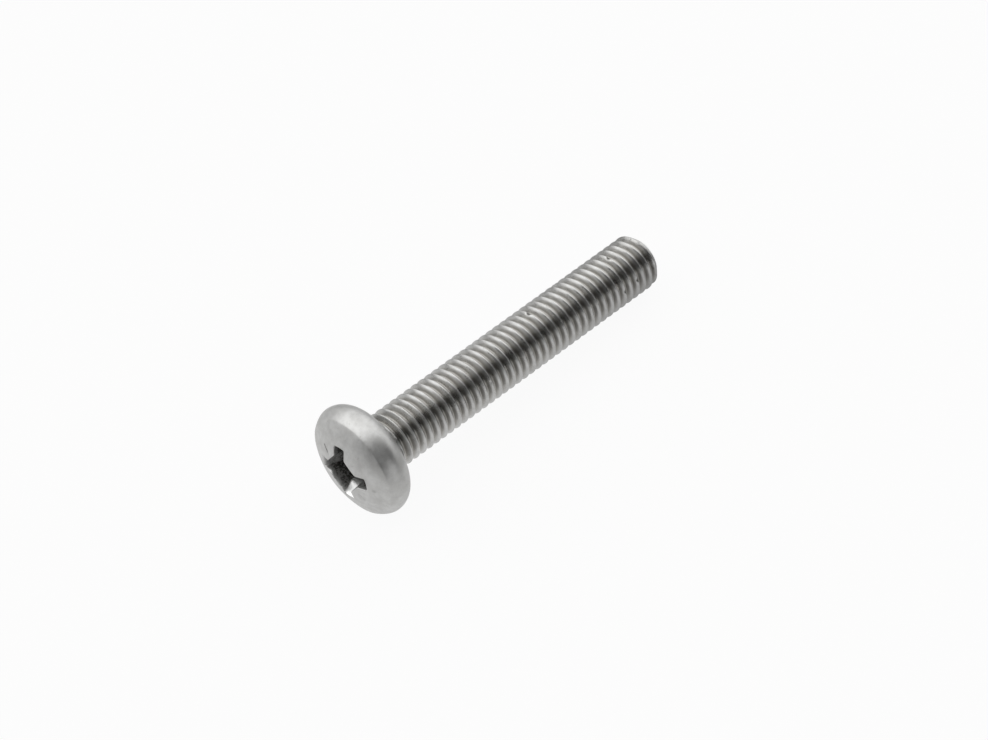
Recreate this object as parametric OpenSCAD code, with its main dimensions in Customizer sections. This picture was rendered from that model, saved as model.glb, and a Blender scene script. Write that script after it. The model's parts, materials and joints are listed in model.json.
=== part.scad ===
// Machine screw with a pan head, a cross recess of type Z, and a thread along the whole shank.
// It lies on its side as it comes to rest, on the rim of its head and the tip of its thread.

/* [Shank] */
// Length of the shank, from the bearing face under the head to the tip
shank_l = 50; // [25:1:60]
// Outside diameter of the thread
thread_d = 8; // [7:0.1:9]
// Advance of the thread in one turn
pitch = 1.25; // [1:0.05:1.5]
// Diameter of the plain neck under the head, where the thread runs out
neck_d = 7.1; // [6.8:0.05:7.4]
// Length of the plain neck
neck_l = 0.7; // [0.3:0.1:3]
// Radius of the fillet between the neck and the head
fillet_r = 0.6; // [0.5:0.05:0.8]
// Length of the chamfer at the tip, which is cut at 45 degrees
tip_chamfer = 1; // [0.6:0.1:1.4]
// Turn of the thread about its axis, which sets where the crests lie
thread_turn = 321; // [0:1:359]

/* [Head] */
// Diameter of the head at its widest
head_d = 16; // [14:0.1:20]
// Height of the head, from the bearing face to the top of the crown
head_h = 5.95; // [5.6:0.05:6.6]
// Radius of the crown's sphere
crown_r = 13.6; // [12:0.1:20]
// Radius of the arc that rounds the side of the head
side_r = 2.4; // [2.2:0.1:3]
// Height of the head's widest place above the bearing face
side_h = 2.1; // [1.8:0.1:2.2]

/* [Recess] */
// Span of the cross, from the end of one wing to the end of the opposite one
cross_span = 8.4; // [7:0.1:9]
// Width of a wing of the cross
wing_w = 1.9; // [1.4:0.1:2.2]
// Distance across the flats of the square core between the wings
core_w = 5.1; // [4.6:0.1:5.6]
// Distance across the core's flats at the bottom of its walls
core_floor_w = 4.4; // [3.6:0.1:4.6]
// Depth of the walls of the core below the top of the crown
core_depth = 3.9; // [2.6:0.1:4]
// Depth of the conical point below the walls of the core
point_depth = 0.5; // [0.3:0.1:0.8]
// Angle of the wings' outer ends to the screw's axis
wing_slope = 26.5; // [20:0.5:30]
// Turn of the cross about the screw's axis, away from straight down
cross_turn = -16.5; // [-45:0.5:45]

/* [Marks] */
// Width of the four radial marks between the wings
mark_w = 0.3; // [0.2:0.05:0.5]
// Depth of the marks below the crown
mark_depth = 0.12; // [0.05:0.01:0.3]
// Distance of a mark's inner end from the axis
mark_in = 3.3; // [3:0.1:4]
// Distance of a mark's outer end from the axis
mark_out = 4.5; // [4.2:0.1:6]

/* [Hidden] */
$fn = 96;

thread_r = thread_d / 2;
head_r = head_d / 2;
neck_r = neck_d / 2;

// Symmetrical 60 degree thread: depth, width of its crest, and length of a flank along the axis
thread_depth = 0.6134 * pitch;
crest_w = pitch / 8;
flank_l = thread_depth * tan(30);
root_w = pitch - crest_w - 2 * flank_l;
root_r = thread_r - thread_depth;

// Flat sides in one turn of the thread, and how far cuts and joined solids run past a face
sides = 20;
past = head_h / 10;

// Angle at which the axis slopes down to the tip, so that the head's side and the tip's edge are level
rest_run = shank_l - tip_chamfer + side_h;
rest_rise = head_r - side_r - thread_r;
rest_tilt = asin(side_r / norm([rest_run, rest_rise])) + atan(rest_rise / rest_run);
// Height of the axis at the bearing face when the head's side touches the ground
seat_z = (head_r - side_r) * cos(rest_tilt) + side_r - side_h * sin(rest_tilt);
// Reach of the laid screw along the ground, before and behind the bearing face
tip_x = shank_l * cos(rest_tilt) + (thread_r - tip_chamfer) * sin(rest_tilt);
head_x = crown_r + (head_h - crown_r) * cos(rest_tilt);

// Height above the bearing face of a point on the crown, at a distance from the axis
function crown_h(r) = head_h - crown_r + sqrt(crown_r * crown_r - r * r);

// Thread as one helical strip: a root, a flank up, a crest and a flank down for each turn.
// It starts at least a turn below the first height, and ends at least a turn above the second.
module thread_rod(low, high) {
    start = pitch * (floor(low / pitch) - 1);
    turns = ceil((high - start) / pitch) + 2;
    last = turns * sides;
    profile = [
        [0, root_r],
        [root_w, root_r],
        [root_w + flank_l, thread_r],
        [root_w + flank_l + crest_w, thread_r]
    ];
    strip = [
        for (i = [0:last])
            for (p = profile)
                [p[1] * cos(360 * i / sides), p[1] * sin(360 * i / sides), start + pitch * i / sides + p[0]]
    ];
    bottom = len(strip);
    top = bottom + 1;
    first = function (i, j) 4 * i + j;
    next = function (i, j) j < 3 ? 4 * i + j + 1 : 4 * (i + sides);
    walls = [
        for (i = [0:last - 1])
            for (j = [0:3])
                if (j < 3 || i + sides < last)
                    each [
                        [first(i, j), next(i, j), next(i + 1, j)],
                        [first(i, j), next(i + 1, j), first(i + 1, j)]
                    ]
    ];
    bottom_rim = [
        for (i = [0:sides]) first(i, 0),
        for (j = [3:-1:1]) first(0, j)
    ];
    top_rim = [
        for (i = [last:-1:last - sides]) first(i, 3),
        for (j = [0:2]) first(last, j)
    ];
    caps = [
        for (i = [0:len(bottom_rim) - 1])
            [bottom, bottom_rim[i], bottom_rim[(i + 1) % len(bottom_rim)]],
        for (i = [0:len(top_rim) - 1])
            [top, top_rim[i], top_rim[(i + 1) % len(top_rim)]]
    ];
    points = concat(strip, [[0, 0, start], [0, 0, start + pitch * turns]]);
    polyhedron(points, concat(walls, caps));
}

// Thread from its start inside the neck to the tip: it rises out of the neck along a steep cone,
// and the tip is chamfered
module thread() {
    low = neck_l - pitch / 2;
    rise = neck_l - crest_w;
    clear_r = thread_r + crest_w;
    intersection() {
        rotate([0, 0, thread_turn])
            thread_rod(low, shank_l);
        rotate_extrude()
            polygon([
                [0, low],
                [neck_r - (rise - low) / 2, low],
                [clear_r, rise + 2 * (clear_r - neck_r)],
                [clear_r, shank_l - tip_chamfer - (clear_r - thread_r)],
                [thread_r - tip_chamfer, shank_l],
                [0, shank_l]
            ]);
    }
}

// Plain neck, the cone on which the thread's root runs out, and the fillet under the head
module neck() {
    rotate_extrude() {
        polygon([
            [0, -past],
            [neck_r, -past],
            [neck_r, neck_l],
            [root_r - crest_w, neck_l + pitch],
            [0, neck_l + pitch]
        ]);
        difference() {
            translate([0, -past])
                square([neck_r + fillet_r, past + fillet_r]);
            translate([neck_r + fillet_r, fillet_r])
                circle(r = fillet_r);
        }
    }
}

// Head without its recess: a side rounded by an arc, under a spherical crown
module head_blank() {
    rotate_extrude()
        intersection() {
            union() {
                translate([head_r - side_r, -side_h])
                    circle(r = side_r);
                translate([0, -head_h])
                    square([head_r - side_r, head_h]);
            }
            translate([0, crown_r - head_h])
                circle(r = crown_r);
            translate([0, -head_h])
                square([head_r, head_h]);
        }
}

// Space of the cross recess: wings and a square core inside the cone of the wings' outer ends,
// with a shallow point at the bottom
module recess() {
    mouth_h = crown_h(cross_span / 2);
    cone_h = cross_span / 2 / tan(wing_slope);
    cone_rise = head_h + past - mouth_h;
    rotate([0, 0, cross_turn]) {
        intersection() {
            translate([0, 0, -mouth_h - cone_rise])
                cylinder(r1 = cross_span / 2 + cone_rise * tan(wing_slope), r2 = 0, h = cone_h + cone_rise);
            union() {
                for (turn = [0, 90])
                    rotate([0, 0, turn])
                        translate([-head_r, -wing_w / 2, -head_h - past])
                            cube([head_d, wing_w, core_depth + past]);
                rotate([0, 0, 45])
                    translate([0, 0, -head_h])
                        linear_extrude(height = core_depth, scale = core_floor_w / core_w)
                            square(core_w, center = true);
            }
        }
        translate([0, 0, core_depth - head_h])
            cylinder(r1 = core_floor_w / 2, r2 = 0, h = point_depth);
    }
}

// Four short radial marks on the crown, one between each two wings
module marks() {
    mark_h = crown_h(mark_out) - mark_depth;
    for (turn = [45:90:315])
        rotate([0, 0, cross_turn + turn])
            translate([mark_in, -mark_w / 2, -head_h])
                cube([mark_out - mark_in, mark_w, head_h - mark_h]);
}

// Screw on its axis, with the bearing face at zero and the tip upwards
module screw() {
    difference() {
        union() {
            head_blank();
            neck();
            thread();
        }
        recess();
        marks();
    }
}

// Screw laid on the ground along X, tip forwards, with the origin under the middle of its length
module machine_screw() {
    color([0.62, 0.62, 0.61])
        translate([(head_x - tip_x) / 2, 0, seat_z])
            rotate([0, 90 + rest_tilt, 0])
                screw();
}

machine_screw();
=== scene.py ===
"""A machine screw lying on a white ground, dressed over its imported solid."""
import json
import math

import bpy
import numpy as np
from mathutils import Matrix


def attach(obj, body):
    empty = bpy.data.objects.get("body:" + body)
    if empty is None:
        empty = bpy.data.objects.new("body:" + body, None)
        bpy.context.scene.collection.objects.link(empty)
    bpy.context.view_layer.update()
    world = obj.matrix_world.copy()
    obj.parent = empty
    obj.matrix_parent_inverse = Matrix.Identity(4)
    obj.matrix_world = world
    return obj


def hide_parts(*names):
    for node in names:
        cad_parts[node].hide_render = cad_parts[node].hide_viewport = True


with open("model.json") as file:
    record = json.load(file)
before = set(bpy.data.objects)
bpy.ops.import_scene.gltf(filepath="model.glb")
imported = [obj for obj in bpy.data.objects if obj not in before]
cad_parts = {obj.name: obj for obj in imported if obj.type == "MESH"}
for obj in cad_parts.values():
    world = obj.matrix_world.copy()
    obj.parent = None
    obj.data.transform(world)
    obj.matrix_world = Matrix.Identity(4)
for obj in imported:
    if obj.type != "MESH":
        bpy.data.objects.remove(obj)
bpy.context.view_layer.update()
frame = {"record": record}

# The screw: one piece of stainless steel wire, cold-headed to a pan head with a cross recess,
# then rolled between two dies to a right-hand thread along the whole shank. Nothing is joined
# to it. It lies on the rim of its head and the edge of its tip.

# Sizes are in millimetres. Heights on the head go up from its bearing face to the crown.
head_radius = 7.99
head_height = 5.95
crown_radius = 13.6
cross_turn = math.radians(-16.5)

# Points round the screw: every eighth of a turn holds half a wing and half a flat of the recess.
around = 8 * 18
even_turn = np.arange(around) * 2 * math.pi / around + cross_turn


def crown_height(radius):
    """Height of the crown above the bearing face, at a distance from the axis."""
    return head_height - crown_radius + np.sqrt(crown_radius ** 2 - radius ** 2)


def soft_corner(start, corner, end, share):
    """Point on the small round where two straight edges meet."""
    start, corner, end = np.array(start), np.array(corner), np.array(end)
    return (1 - share) ** 2 * start + 2 * share * (1 - share) * corner + share ** 2 * end


def ease(value):
    """Smooth step from 0 to 1."""
    value = np.clip(value, 0.0, 1.0)
    return value * value * (3 - 2 * value)


def turn_from(turn, degrees):
    """How far a turn is from a direction in degrees, up to half a turn each way."""
    return (turn - math.radians(degrees) + math.pi) % (2 * math.pi) - math.pi


def in_space(radius, turn, height):
    """Points in space from their distances from the axis, turns and heights."""
    return np.stack(np.broadcast_arrays(radius * np.cos(turn), radius * np.sin(turn), height), 1)


# Rings of points go from the bottom of the recess out over the crown, the side and the bearing
# face to the neck. Each holds distances from the axis, turns and heights.
rings = []


def ring(radius, turn, height):
    """Adds one ring. A plain number stands for all its points."""
    columns = [np.broadcast_to(value, around).astype(float) for value in (radius, turn, height)]
    rings.append(np.stack(columns, 1))


# The cross recess, as the punch leaves it: four wings whose outer ends slope inwards, and a
# square core that tapers a little, with small rounds where its walls meet. The end of the wing
# next to the ground is worn to a wider slope.
cross_span = 8.4
wing_width = 1.9
wing_slopes = [math.radians(degrees) for degrees in (42, 26.5, 26.5, 26.5)]
shortest_wing = 0.45
wing_round = 0.13
core_width = 5.1
core_floor_width = 4.4
core_round = 0.15
core_depth = 3.9
point_depth = 0.5
floor_height = head_height - core_depth
mouth_height = crown_height(cross_span / 2)

# Points lie close together at the middle of a core flat, because a tick on the crown starts there.
flat_columns = (0.17, 0.085, 0.0)


def half_wing(height, slope):
    """Edge of the recess from the middle of a wing's end to the middle of a core flat."""
    taper = (head_height - height) / core_depth
    flat = (core_width + (core_floor_width - core_width) * taper) / 2
    side = wing_width / 2
    root = np.array([flat * math.sqrt(2) - side, side])
    middle = np.array([flat, flat]) / math.sqrt(2)
    along = (middle - root) / np.linalg.norm(middle - root)
    reach = cross_span / 2 - (mouth_height - height) * math.tan(slope)
    reach = max(reach, math.hypot(root[0] + shortest_wing, side))

    def wing_end(aside):
        return np.array([math.sqrt(reach ** 2 - aside ** 2), aside])

    before, end = wing_end(side - wing_round), wing_end(side)
    after = end - (wing_round, 0)
    last = root + (core_round, 0)
    leave = root + along * core_round
    on_flat = [middle - along * aside for aside in flat_columns]
    points = [wing_end(side * share) for share in (0.0, 0.35, 0.68)]
    points += [soft_corner(before, end, after, share) for share in (0, 0.5, 1)]
    points += [after + (last - after) * share for share in (0.2, 0.4, 0.6, 0.8, 0.93)]
    points += [soft_corner(last, root, leave, share) for share in (0, 0.5, 1)]
    points += [leave + (on_flat[0] - leave) * share for share in (0.33, 0.66)]
    return np.array(points + on_flat)


def recess_edge(height):
    """Edge of the whole recess at a height: distances from the axis, and turns."""
    radius, turn = [], []
    for quarter in range(4):
        first = half_wing(height, wing_slopes[quarter])
        second = half_wing(height, wing_slopes[(quarter + 1) % 4])[-2:0:-1]
        start = cross_turn + quarter * math.pi / 2
        radius += [np.hypot(first[:, 0], first[:, 1]), np.hypot(second[:, 0], second[:, 1])]
        turn += [
            start + np.arctan2(first[:, 1], first[:, 0]),
            start + math.pi / 2 - np.arctan2(second[:, 1], second[:, 0]),
        ]
    return np.concatenate(radius), np.concatenate(turn)


levels = np.linspace(floor_height, head_height, 60)
edges = np.array([recess_edge(level) for level in levels])


def wall_point(height):
    """Distances and turns of the recess's wall, at a height for each point round."""
    radius = [np.interp(height[i], levels, edges[:, 0, i]) for i in range(around)]
    turn = [np.interp(height[i], levels, edges[:, 1, i]) for i in range(around)]
    return np.array(radius), np.array(turn)


# The point under the core, and the floor round it.
floor_radius, floor_turn = recess_edge(floor_height)
point_radius = core_floor_width / 2 - 0.08
for radius, sink in ((0.3, 0.97), (0.9, 0.66), (1.5, 0.33), (point_radius, 0.03)):
    ring(radius, floor_turn, floor_height - point_depth * sink)
for share in (0.45, 0.93):
    ring(point_radius + (floor_radius - point_radius) * share, floor_turn, floor_height)

# The walls, up to where the lip starts below the mouth. The mouth is where they meet the crown,
# and the lip is wider at two worn corners, whose turns are in degrees.
mouth = np.full(around, mouth_height)
for _ in range(12):
    mouth = crown_height(wall_point(mouth)[0])
lip_width = 0.12
worn_more = 0.22
worn_reach = math.radians(11)
lip = np.full(around, lip_width)
for worn_turn in (46, 22):
    lip += worn_more * ease(1 - np.abs(turn_from(even_turn, worn_turn)) / worn_reach)
for share in (0.02, 0.1, 0.22, 0.35, 0.48, 0.6, 0.72, 0.83, 0.92, 1.0):
    height = floor_height + (mouth - lip - floor_height) * share
    ring(*wall_point(height), height)
wall_rings = len(rings)

# The lip: a small round from the wall to the crown.
low = in_space(*wall_point(mouth - lip), mouth - lip)
top = in_space(*wall_point(mouth), mouth)
tangent = np.roll(top, -1, 0) - np.roll(top, 1, 0)
outward = np.stack([tangent[:, 1], -tangent[:, 0]], 1)
outward /= np.linalg.norm(outward, axis=1)[:, None]
out = top.copy()
out[:, :2] += outward * lip[:, None]
out[:, 2] = crown_height(np.hypot(out[:, 0], out[:, 1]))
for share in (0.3, 0.6, 0.85, 1.0):
    point = soft_corner(low, top, out, share)
    turn = np.unwrap(np.arctan2(point[:, 1], point[:, 0]))
    ring(np.hypot(point[:, 0], point[:, 1]), turn, point[:, 2])
recess_rings = len(rings)
out_radius, out_turn, _ = rings[-1].T

# The crown, with one short punched tick between each two wings, in five columns of points, and
# dents from handling, each with its distance from the axis, turn in degrees, reach and depth.
crown_edge = 7.12
tick_depth = 0.07
tick_start, tick_end = 3.2, 4.6
tick_columns = (-0.15, -0.065, 0.0, 0.065, 0.15)
crown_dents = (
    (5.2, 262.5, 0.7, 0.035),
    (6.3, 190, 0.4, 0.02),
    (5.9, 40, 0.5, 0.025),
    (6.5, 322, 0.4, 0.02),
)


def on_tick(radius):
    """How fully a tick is punched at a distance from the axis."""
    return ease((radius - tick_start) / 0.25) * ease((tick_end - radius) / 0.25)


for share in (0.04, 0.09, 0.14, 0.19, 0.24, 0.29, 0.34, 0.39, 0.44, 0.5, 0.57, 0.65, 0.73, 0.82, 0.91, 1.0):
    radius = out_radius + (crown_edge - out_radius) * share
    turn = out_turn + (even_turn - out_turn) * ease(share)
    height = crown_height(radius)
    for middle in range(around // 8, around, around // 4):
        for step, aside in zip(range(-2, 3), tick_columns):
            i = middle + step
            column_turn = even_turn[middle] + aside / radius[i]
            past_tick = ease((radius[i] - tick_end - 0.1) / 2.4)
            turn[i] = column_turn + (even_turn[i] - column_turn) * past_tick
            if abs(step) < 2:
                height[i] -= tick_depth * on_tick(radius[i])
    for dent_radius, dent_turn, reach, depth in crown_dents:
        off = np.hypot(radius - dent_radius, turn_from(turn, dent_turn) * dent_radius)
        height -= depth * ease(1 - off / reach)
    ring(radius, turn, height)

# The outline from the crown to the neck, as distances from the axis and heights: the crease where
# the crown meets the rounded side, the side, the bearing face and the fillet under the head.
side_radius = 2.4
side_height = 2.15
crease_radius = 7.2
neck_radius = 3.55
fillet_radius = 0.6
before_crease = (crown_edge, crown_height(crown_edge))
crease = (crease_radius, crown_height(crease_radius))
shoulder = (head_radius, 2.89)
widest = (head_radius, side_height)
after_crease = soft_corner(crease, shoulder, widest, 0.05)
bearing_corner, bearing_edge = (6.76, 0.0), (6.6, 0.0)


def side_point(degrees):
    """Point on the side's arc, at an angle up from its widest place."""
    angle = math.radians(degrees)
    return (
        head_radius - side_radius + side_radius * math.cos(angle),
        side_height + side_radius * math.sin(angle),
    )


def fillet_point(degrees):
    """Point on the fillet under the head, from the bearing face at 90 degrees to the neck at 180."""
    angle = math.radians(degrees)
    return neck_radius + fillet_radius * (1 + math.cos(angle)), fillet_radius * (math.sin(angle) - 1)


outline = [soft_corner(before_crease, crease, after_crease, share) for share in (0.33, 0.66, 1.0)]
outline += [
    soft_corner(crease, shoulder, widest, share) for share in (0.17, 0.3, 0.43, 0.56, 0.69, 0.82, 0.95)]
outline += [side_point(degrees) for degrees in (*range(-3, -52, -6), -55)]
outline += [soft_corner(side_point(-58), bearing_corner, bearing_edge, share) for share in (0, 0.5, 1)]
outline += [(radius, 0.0) for radius in (6.0, 5.4, 4.8, 4.4, neck_radius + fillet_radius)]
outline += [fillet_point(degrees) for degrees in (110, 130, 150, 168, 180)]
for radius, height in outline:
    ring(radius, even_turn, height)

# The thread: rows of points that climb with its helix, twelve to a turn, close together where the
# crest and the root are rounded. Its heights go from the bearing face along the shank to the tip.
shank_length = 50.0
neck_length = 0.7
thread_radius = 4.0
thread_depth = 0.767
pitch = 1.25
tip_chamfer = 1.0
crest_to_root = np.array([0.0, 0.05, 0.105, 0.29, 0.47, 0.545, 0.625])
below_crest = np.array([0.0, 0.003, 0.05, 0.367, 0.68, 0.752, thread_depth])
rows = np.concatenate([-crest_to_root[:0:-1], crest_to_root[:-1]]) / pitch + 0.5
per_turn = len(rows)

# A crest would pass 0.34 from the bearing face at this turn, if the neck didn't cut it off. The
# rows start some turns before it and end past the tip.
crest_turn = math.radians(208.5)
crest_height = 0.34 - pitch * (crest_turn - cross_turn) / (2 * math.pi)
turns = 46
turns_before = 3.5
row_height = (rows[None, :] + np.arange(turns)[:, None]).ravel() * pitch
row_height += crest_height - turns_before * pitch
column_rise = np.arange(around) / around * pitch
height = row_height[:, None] + column_rise[None, :]
columns = np.broadcast_to(np.arange(around), height.shape)

# The thread swells out of the neck over a few turns, latest on one side. The neck narrows to the
# thread's root along a cone, which ends a little inside it.
swell_start = neck_length - 0.16
swell_slope = 2.2
latest_turn = math.radians(118.5)
inside_root = 0.15
run_out_end = 3.2


def thread_profile(height, column):
    """Distance of the full thread's surface from the axis."""
    along = (height - column_rise[column] - crest_height + pitch / 2) % pitch - pitch / 2
    return thread_radius - np.interp(np.abs(along), crest_to_root, below_crest)


def thread_limit(height, column):
    """Distance that the thread can't pass: it swells out of the neck, and the tip is chamfered."""
    turn = even_turn[column]
    ragged = 0.05 * np.sin(3 * turn + 0.8) + 0.03 * np.sin(8 * turn + 2.1) + 0.02 * np.sin(17 * turn)
    late = 0.3 * (1 + np.cos(turn - latest_turn))
    swell = neck_radius + (height - swell_start - late) / swell_slope
    swell = swell + ragged * ease((height - neck_length) / 0.4)
    chamfer = thread_radius - tip_chamfer + shank_length - height
    return np.minimum(swell, chamfer)


def cut_thread(height, column):
    """Distance of the thread's surface from the axis, cut off at its limit."""
    return np.minimum(thread_profile(height, column), thread_limit(height, column))


def run_out(height):
    """Neck, and the cone that narrows from it to the thread's root."""
    drop = neck_radius - thread_radius + thread_depth + inside_root
    return neck_radius - np.clip((height - neck_length) / pitch, 0, 1) * drop


def past_limit(height, column):
    """How far the full thread stands past its limit."""
    return thread_profile(height, column) - thread_limit(height, column)


def past_run_out(height, column):
    """How far the thread stands out of the neck and the cone."""
    return cut_thread(height, column) - run_out(height)


def crossing(gap, column, low_end, high_end):
    """Height between two others at which a gap changes its sign."""
    for _ in range(18):
        middle = (low_end + high_end) / 2
        if gap(low_end, column) * gap(middle, column) <= 0:
            high_end = middle
        else:
            low_end = middle
    return (low_end + high_end) / 2


# Near both ends, rows move onto the lines where the thread is cut off, so that these are crisp.
for gap in (past_limit, past_run_out):
    value = gap(height, columns)
    near_ends = (height[:-1] < run_out_end) | (height[1:] > shank_length - 1.6 * tip_chamfer)
    for row, column in np.argwhere((value[:-1] * value[1:] < 0) & near_ends):
        before, after = height[row, column], height[row + 1, column]
        line = crossing(gap, column, before, after)
        nearest = row if line - before < after - line else row + 1
        height[nearest, column] = line
height = np.maximum.accumulate(height, 0)
radius = np.maximum(cut_thread(height, columns), run_out(height))

# Small dents on the crests, from handling: height, turn in degrees, reach and depth. The deep ones
# are dark with dirt.
dents = (
    (29.2, 164, 0.70, 0.24),
    (29.9, 194, 0.40, 0.12),
    (44.2, 168, 0.65, 0.24),
    (43.2, 249, 0.55, 0.22),
    (45.6, 243, 0.45, 0.20),
    (17.8, 236, 0.40, 0.06),
    (9.3, 182, 0.35, 0.06),
    (36.4, 121, 0.45, 0.08),
    (22.7, 58, 0.50, 0.09),
    (12.4, 340, 0.40, 0.07),
    (39.0, 12, 0.45, 0.08),
)
stained_depth = 0.2
nick = np.zeros(height.shape)
for dent_height, dent_turn, reach, depth in dents:
    off = np.hypot(height - dent_height, turn_from(even_turn, dent_turn) * thread_radius)
    dent = ease((radius - thread_radius + 0.45) / 0.3) * ease(1 - off / reach)
    radius = radius - depth * dent
    nick = np.maximum(nick, depth / stained_depth * dent)

# All the points in one list, from the recess to the tip, whose end face is dished a little. The
# rows of the thread lie between two rings near its ends, and keep a small gap from them.
points, nicked = [], []


def add_points(new, stain=0.0):
    """Adds points with how far each is stained by a nick, and returns their numbers."""
    first = sum(len(each) for each in points)
    points.append(new)
    nicked.append(np.broadcast_to(stain, len(new)))
    return np.arange(len(new)) + first


end_gap = 0.06
row_gap = 0.02
neck_end = neck_length - end_gap
tip_start = shank_length - end_gap
dish = 0.15
dish_rings = ((2.94, 0.0), (2.78, 0.015), (2.5, 0.06), (2.1, 0.11), (1.5, 0.14), (0.8, dish))
recess_point = add_points(np.array([[0.0, 0.0, point_depth - floor_height]]))
head_rings = [add_points(in_space(each[:, 0], each[:, 1], -each[:, 2])) for each in rings]
neck_ring = add_points(in_space(neck_radius, even_turn, neck_end))
tip_ring = add_points(in_space(thread_radius - tip_chamfer + end_gap, even_turn, tip_start))
in_neck = height < neck_end + row_gap
past_tip = height > tip_start - row_gap
between = ~(in_neck | past_tip)
row_index = np.where(in_neck, neck_ring, tip_ring)
row_index[between] = add_points(
    in_space(radius[between], even_turn[columns[between]], height[between]), nick[between])
tip_rings = [add_points(in_space(radius, even_turn, shank_length - sink)) for radius, sink in dish_rings]
tip_point = add_points(np.array([[0.0, 0.0, shank_length - dish]]))
points, nicked = np.concatenate(points), np.concatenate(nicked)

# The faces between the points. At the last column, the helix goes on a turn further up.
faces = list(zip(np.repeat(recess_point, around), np.roll(head_rings[0], -1), head_rings[0]))


def join(lower, upper):
    """Four-sided faces between two rings."""
    faces.extend(zip(lower, np.roll(lower, -1), np.roll(upper, -1), upper))


for lower, upper in zip(head_rings, head_rings[1:] + [neck_ring]):
    join(lower, upper)
next_turn = np.append(row_index[per_turn:, 0], np.repeat(tip_ring[0], per_turn))
next_index = np.column_stack([row_index[:, 1:], next_turn])
corners = np.stack([row_index[:-1], next_index[:-1], next_index[1:], row_index[1:]], -1)
for four in corners.reshape(-1, 4).tolist():
    face = tuple(dict.fromkeys(four))
    if len(face) > 2:
        faces.append(face)
for lower, upper in zip([tip_ring] + tip_rings[:-1], tip_rings):
    join(lower, upper)
faces += zip(np.repeat(tip_point, around), tip_rings[-1], np.roll(tip_rings[-1], -1))

# Masks that the material reads: how deep a point lies in the thread, for the painted shade in its
# roots; how deep in the recess, for the painted shade there; where the wings' worn ends get a
# painted highlight; and how dark it is stained in dents and ticks.
distance = np.hypot(points[:, 0], points[:, 1])
down_shank = points[:, 2]
number = np.arange(len(points))
on_wall = number < 1 + wall_rings * around
in_recess = number < 1 + recess_rings * around
on_crown = (down_shank < -3.9) & ~in_recess
from_cross = np.arctan2(points[:, 1], points[:, 0]) - cross_turn
from_wing = (from_cross + math.pi / 4) % (math.pi / 2) - math.pi / 4
from_tick = from_cross % (math.pi / 2) - math.pi / 4

groove = np.clip((thread_radius - distance) / thread_depth, 0, 1) * (down_shank > neck_end)
groove = groove * ease((shank_length - 0.3 - down_shank) / 0.5)

# Painted highlight on the wings' ends, above their lowest part: full on the worn wing, faint on the others.
wing_end = (np.abs(from_wing) * distance < wing_width / 2 + 0.01) & (distance > 2.9)
highlight_share = np.where(np.abs(from_cross) < math.pi / 4, 1.0, 0.15)
above_floor = -down_shank - floor_height
painted_wing_highlight = np.where(wing_end & on_wall, ease((above_floor - 0.9) / 0.7) * highlight_share, 0.0)

below_crown = crown_height(np.minimum(distance, head_radius)) + down_shank
# Painted shade in the recess: darker the deeper below the crown, and none on the wing ends' painted
# highlight.
inside = np.where(in_recess, ease((below_crown - 0.08) / 0.8) * (1 - painted_wing_highlight), 0.0)

stained_crown_depth = 0.16
for dent_radius, dent_turn, reach, depth in crown_dents:
    angle = math.radians(dent_turn)
    centre = dent_radius * math.cos(angle), dent_radius * math.sin(angle)
    off = np.hypot(points[:, 0] - centre[0], points[:, 1] - centre[1])
    stain = ease(1 - off / reach) * depth / stained_crown_depth
    nicked = np.maximum(nicked, np.where(on_crown, stain, 0.0))
dirty_tick = (points[:, 0] < 0) & (points[:, 1] > 0)
stain = ease((0.11 - np.abs(from_tick) * distance) / 0.06) * on_tick(distance)
stain = stain * np.where(dirty_tick, 0.6, 0.1)
nicked = np.maximum(nicked, np.where(on_crown, stain, 0.0))

# The screw is laid along the axis of its thread, whose mount is at the middle of the shank. Turns
# round it start from down and go to the left, seen from the head.
thread_mount = next(mount for mount in frame["record"]["mounts"] if mount["name"] == "thread")
axis = np.array(thread_mount["axis"])
left = np.array([0.0, 1.0, 0.0])
bearing_middle = np.array(thread_mount["pos_m"]) * 1000 - axis * shank_length / 2
down = np.cross(left, axis)
laid = (bearing_middle + points @ np.stack([down, left, axis])) / 1000

screw_mesh = bpy.data.meshes.new("machine_screw_detail")
screw_mesh.from_pydata(laid.tolist(), [], [[int(corner) for corner in face] for face in faces])
screw_mesh.validate()
for name, values in (("groove", groove), ("nicked", nicked), ("inside", inside), ("painted_wing_highlight", painted_wing_highlight)):
    screw_mesh.attributes.new(name, "FLOAT", "POINT").data.foreach_set("value", values.astype(np.float32))
screw_mesh.polygons.foreach_set("use_smooth", [True] * len(screw_mesh.polygons))
screw = bpy.data.objects.new("screw", screw_mesh)
bpy.context.scene.collection.objects.link(screw)

# Its finish: plain stainless steel, blurred by the heading die on the head, and burnished in fine
# lines along the turns of the thread. The roots and the recess are painted darker, as painted shade.
# Dirt lies in the run-out, the nicks and round the tip, and the worn end of one wing is painted
# bright, as a painted highlight.


def empty_tree(owner):
    """The node tree of a new material or world, with nothing in it."""
    owner.use_nodes = True
    owner.node_tree.nodes.clear()
    return owner.node_tree


def add_node(tree, kind, inputs, **settings):
    """Adds a shader node, and sets or links its inputs."""
    node = tree.nodes.new("ShaderNode" + kind)
    for name, value in settings.items():
        setattr(node, name, value)
    for name, value in inputs.items():
        if isinstance(value, bpy.types.NodeSocket):
            tree.links.new(value, node.inputs[name])
        else:
            node.inputs[name].default_value = value
    return node


def add_math(tree, operation, first, second=0.0, third=0.0):
    """A sum, product or other operation on numbers."""
    return add_node(tree, "Math", {0: first, 1: second, 2: third}, operation=operation).outputs[0]


def add_vector_math(tree, operation, inputs, output="Vector"):
    """A sum, product or other operation on places or directions."""
    return add_node(tree, "VectorMath", inputs, operation=operation).outputs[output]


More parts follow.
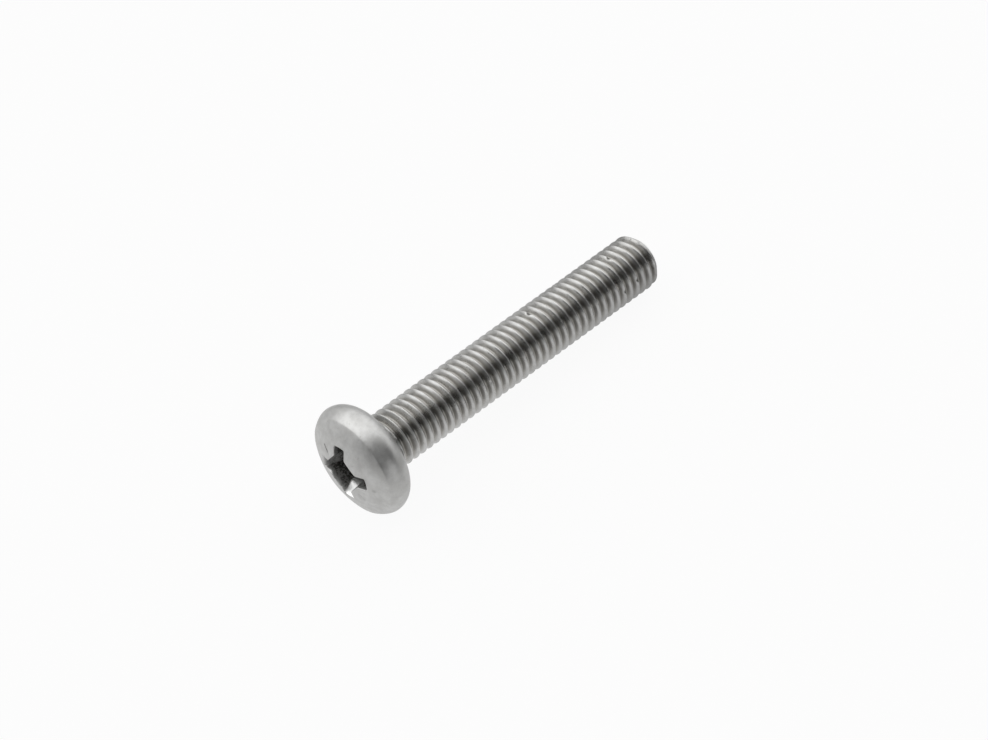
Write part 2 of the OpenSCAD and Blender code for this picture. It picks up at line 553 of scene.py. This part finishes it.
def add_range(tree, value, low, high, to_low=0.0, to_high=1.0):
    """Smooth change from one value to another while the input goes from low to high."""
    settings = {"Value": value, "From Min": low, "From Max": high, "To Min": to_low, "To Max": to_high}
    return add_node(tree, "MapRange", settings, interpolation_type="SMOOTHSTEP").outputs[0]


def add_blend(tree, share, first, second):
    """Blend of two colours."""
    return add_node(tree, "MixRGB", {"Fac": share, "Color1": first, "Color2": second}).outputs[0]


steel = bpy.data.materials.new("stainless_steel")
steel_tree = empty_tree(steel)


def steel_product(first, second):
    """Product of two masks or patterns of the steel."""
    return add_math(steel_tree, "MULTIPLY", first, second)


def steel_noise(place, scale, detail, roughness=0.5):
    """Noise at a scale in waves per millimetre."""
    settings = {"Vector": place, "Scale": scale, "Detail": detail, "Roughness": roughness}
    return add_node(steel_tree, "TexNoise", settings).outputs[0]


def steel_range(value, low, high, to_low=0.0, to_high=1.0):
    """Smooth change of a pattern of the steel."""
    return add_range(steel_tree, value, low, high, to_low, to_high)


def steel_mask(name):
    """One of the masks that the screw's mesh holds."""
    return add_node(steel_tree, "Attribute", {}, attribute_name=name).outputs["Fac"]


# Places in millimetres from the middle of the bearing face, along the axis and away from it.
screw_axis = tuple(axis.tolist())
place = add_vector_math(steel_tree, "MULTIPLY_ADD", {
    0: add_node(steel_tree, "TexCoord", {}).outputs["Object"],
    1: (1000.0, 1000.0, 1000.0),
    2: tuple((-bearing_middle).tolist()),
})
along = add_vector_math(steel_tree, "DOT_PRODUCT", {0: place, 1: screw_axis}, "Value")
on_axis = add_vector_math(steel_tree, "SCALE", {0: screw_axis, "Scale": along})
off_axis = add_vector_math(steel_tree, "SUBTRACT", {0: place, 1: on_axis})
away = add_vector_math(steel_tree, "LENGTH", {0: off_axis}, "Value")
on_thread = steel_range(along, 0.3, 1.1)
by_neck = steel_product(steel_range(along, 0.1, 0.5), steel_range(along, 1.3, 2.4, 1.0, 0.0))
by_tip = steel_product(steel_range(along, 48.1, 48.6), steel_range(along, 49.2, 49.5, 1.0, 0.0))


def hair_scratches(tilt, spin):
    """Fine scratches in one direction."""
    stretched = add_node(steel_tree, "Mapping", {
        "Vector": place, "Rotation": (tilt, 0.4, spin), "Scale": (0.35, 7.0, 7.0)}).outputs[0]
    return steel_range(steel_noise(stretched, 1.0, 2.0), 0.66, 0.73)


# Patterns, from the largest to the finest. The lines follow the turns of the thread, with a slow
# drift that keeps them from closing round the screw.
drift = steel_product(steel_noise(place, 0.12, 1.0), 4.0)
turned = add_node(steel_tree, "CombineXYZ", {"X": away, "Y": along, "Z": drift}).outputs[0]
clouds = steel_noise(place, 0.45, 5.0, 0.62)
blotches = steel_noise(place, 1.1, 3.0, 0.55)
specks = steel_range(steel_noise(place, 2.3, 4.0, 0.6), 0.62, 0.74)
flecks = steel_noise(place, 3.2, 3.0, 0.6)
grain = steel_noise(place, 6.0, 3.0, 0.6)
lines = steel_noise(turned, 7.0, 3.0, 0.6)
thread_lines = steel_product(lines, on_thread)
hairs = add_math(steel_tree, "MAXIMUM", hair_scratches(0.5, 0.3), hair_scratches(1.9, 1.2))

# What covers the steel: stains at the neck, the tip and the nicks, and painted shade in the roots
# and in the recess. Where the stains and the recess's painted shade are dark they hide the metal.
# Painted shade in the thread's roots: darker the deeper the root, patchy with clouds.
painted_root_shade = steel_product(steel_range(steel_mask("groove"), 0.15, 0.85), steel_range(clouds, 0.2, 0.8, 0.55, 0.95))
neck_streaks = steel_product(steel_range(lines, 0.48, 0.6, 0.0, 0.6), by_neck)
tip_specks = steel_product(steel_range(flecks, 0.5, 0.64, 0.0, 0.6), by_tip)
tip_specks = steel_product(steel_range(blotches, 0.45, 0.6), tip_specks)
stain = add_math(steel_tree, "MAXIMUM", neck_streaks, tip_specks)
stain = add_math(steel_tree, "MAXIMUM", stain, steel_range(steel_mask("nicked"), 0.05, 0.5, 0.0, 0.95))
# The recess's painted shade, patchy with flecks.
painted_recess_shade = steel_product(steel_mask("inside"), steel_range(flecks, 0.42, 0.58, 0.55, 1.0))
# Real dirt and the recess's painted shade together.
dirt_and_painted_shade = add_math(steel_tree, "MAXIMUM", painted_recess_shade, stain)
metal = add_math(steel_tree, "MULTIPLY_ADD", dirt_and_painted_shade, -0.6, 1.0)

dull_steel = (0.49, 0.488, 0.478, 1)
bright_steel = (0.6, 0.6, 0.592, 1)
colour = add_blend(steel_tree, steel_range(clouds, 0.35, 0.65), dull_steel, bright_steel)
for share, layer in (
    (steel_product(steel_range(blotches, 0.4, 0.7), 0.3), (0.4, 0.398, 0.39, 1)),
    (steel_product(grain, 0.16), (0.36, 0.357, 0.35, 1)),
    (steel_product(specks, 0.35), (0.25, 0.243, 0.232, 1)),
    (steel_product(on_thread, 0.11), (0.2, 0.198, 0.19, 1)),
    # painted shade in the thread's roots
    (painted_root_shade, (0.28, 0.267, 0.245, 1)),
    (stain, (0.07, 0.066, 0.059, 1)),
    # painted shade in the recess, nearly black
    (painted_recess_shade, (0.045, 0.042, 0.037, 1)),
    # painted highlight on the wings' ends, near white
    (steel_mask("painted_wing_highlight"), (0.93, 0.93, 0.92, 1)),
):
    colour = add_blend(steel_tree, share, colour, layer)

# The head is blurred, and the rolled thread is smoother.
blur = 0.34
for pattern, weight in (
    (clouds, 0.16),
    (grain, 0.08),
    (on_thread, -0.21),
    (thread_lines, 0.08),
    (hairs, 0.08),
):
    blur = add_math(steel_tree, "MULTIPLY_ADD", pattern, weight, blur)

# The relief is in steps of four thousandths of a millimetre.
relief_step = 0.000004
relief = 0.0
for pattern, weight in (
    (clouds, 5.0),
    (grain, 0.7),
    (thread_lines, 0.9),
    (steel_product(lines, by_neck), 6.0),
    (hairs, -0.5),
    (specks, -0.8),
):
    relief = add_math(steel_tree, "MULTIPLY_ADD", pattern, weight, relief)
bumpy = add_node(steel_tree, "Bump", {"Height": relief, "Distance": relief_step, "Strength": 1.0}).outputs[0]

steel_shader = add_node(steel_tree, "BsdfPrincipled", {
    "Base Color": colour, "Metallic": metal, "Roughness": blur, "Normal": bumpy})
add_node(steel_tree, "OutputMaterial", {"Surface": steel_shader.outputs[0]})
screw_mesh.materials.append(steel)

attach(screw, "root")
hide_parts("machine_screw")

# The ground: a wide sheet of white board that the screw lies on. It shows white to the camera, and
# keeps a faint shadow under the screw. In the metal it shows white too, in a painted pool of light
# by the head, and is painted grey further off, as painted shade.
half_width = 2
corner_signs = ((-1, -1), (1, -1), (1, 1), (-1, 1))
ground_mesh = bpy.data.meshes.new("ground")
ground_mesh.from_pydata([(x * half_width, y * half_width, 0) for x, y in corner_signs], [], [(0, 1, 2, 3)])
ground = bpy.data.objects.new("ground", ground_mesh)
bpy.context.scene.collection.objects.link(ground)
board = bpy.data.materials.new("white_board")
board_tree = empty_tree(board)
path = add_node(board_tree, "LightPath", {}).outputs
mirrored = add_math(board_tree, "MAXIMUM", path["Is Glossy Ray"], path["Is Transmission Ray"])
on_board = add_node(board_tree, "TexCoord", {}).outputs["Object"]

# A painted pool of light on the board, seen only in the metal: white within its radius, fading to painted
# grey shade further off.
pool_middle = (-0.05, -0.015, 0.0)
pool_radius, pool_fades_at = 0.035, 0.12
painted_pool_grey = (0.08, 0.08, 0.08, 1)
from_pool = add_vector_math(board_tree, "DISTANCE", {0: on_board, 1: pool_middle}, "Value")
off_pool = add_range(board_tree, from_pool, pool_radius, pool_fades_at, 0.0, 0.9)
# How far the board is painted grey, only for rays mirrored by the metal; both the paper and its glow take it.
painted_dimming = add_math(board_tree, "MULTIPLY", mirrored, off_pool)

fibres = add_node(board_tree, "TexNoise", {"Vector": on_board, "Scale": 900.0, "Detail": 3.0}).outputs[0]
tone = add_blend(board_tree, fibres, (0.58, 0.58, 0.58, 1), (0.64, 0.64, 0.635, 1))
tone = add_blend(board_tree, painted_dimming, tone, painted_pool_grey)
white = add_blend(board_tree, painted_dimming, (1, 1, 1, 1), painted_pool_grey)
paper = add_node(board_tree, "BsdfDiffuse", {"Color": tone})
glow = add_node(board_tree, "Emission", {"Color": white, "Strength": 1.0})
mirror_share = add_math(board_tree, "MULTIPLY", mirrored, 0.88)
camera_share = add_math(board_tree, "MULTIPLY", path["Is Camera Ray"], 0.94)
glow_share = add_math(board_tree, "MAXIMUM", mirror_share, camera_share)
board_blend = add_node(board_tree, "MixShader", {"Fac": glow_share, 1: paper.outputs[0], 2: glow.outputs[0]})
add_node(board_tree, "OutputMaterial", {"Surface": board_blend.outputs[0]})
ground_mesh.materials.append(board)

# The light: a white tent, brighter in a patch beyond the head's left and in one high above the
# tip, with three dark gaps on the camera's side. The camera itself sees plain white.
studio = bpy.data.worlds.new("studio")
bpy.context.scene.world = studio
tent_tree = empty_tree(studio)
direction = add_node(tent_tree, "TexCoord", {}).outputs["Generated"]


def tent_patch(azimuth, elevation, inner, outer):
    """Round patch of the tent, in degrees: 1 within the inner angle, fading to 0 at the outer."""
    azimuth, elevation = math.radians(azimuth), math.radians(elevation)
    centre = (
        math.cos(elevation) * math.cos(azimuth),
        math.cos(elevation) * math.sin(azimuth),
        math.sin(elevation),
    )
    near = add_vector_math(tent_tree, "DOT_PRODUCT", {0: direction, 1: centre}, "Value")
    return add_range(tent_tree, near, math.cos(math.radians(outer)), math.cos(math.radians(inner)))


level = 1.08
for bright_patch, gain in (((140, 45, 12, 50), 0.8), ((20, 56, 14, 38), 0.5)):
    level = add_math(tent_tree, "MULTIPLY_ADD", tent_patch(*bright_patch), gain, level)
for dark_gap in ((195, 12, 28, 42), (231, 46, 18, 37), (300, 39, 22, 34)):
    lit = add_math(tent_tree, "SUBTRACT", 1.0, tent_patch(*dark_gap))
    level = add_math(tent_tree, "MULTIPLY", level, lit)
level = add_math(tent_tree, "ADD", level, 0.03)
tent = add_node(tent_tree, "Background", {"Color": (1, 1, 1, 1), "Strength": level})
backdrop = add_node(tent_tree, "Background", {"Color": (1, 1, 1, 1), "Strength": 1.0})
seen = add_node(tent_tree, "LightPath", {}).outputs["Is Camera Ray"]
tent_blend = add_node(tent_tree, "MixShader", {"Fac": seen, 1: tent.outputs[0], 2: backdrop.outputs[0]})
add_node(tent_tree, "OutputWorld", {"Surface": tent_blend.outputs[0]})

# The camera: a long lens that looks down on the head's end from the screw's right.
camera_data = bpy.data.cameras.new("camera")
camera_data.lens = 105.467
camera_data.sensor_width = 36
camera_data.clip_start = 0.01
camera_data.clip_end = 20
camera = bpy.data.objects.new("camera", camera_data)
camera.location = (-0.158937, -0.162309, 0.316593)
camera.rotation_euler = (math.radians(36.0388), 0, math.radians(-44.3192))
bpy.context.scene.collection.objects.link(camera)
bpy.context.scene.camera = camera
bpy.context.scene.view_settings.view_transform = "Standard"
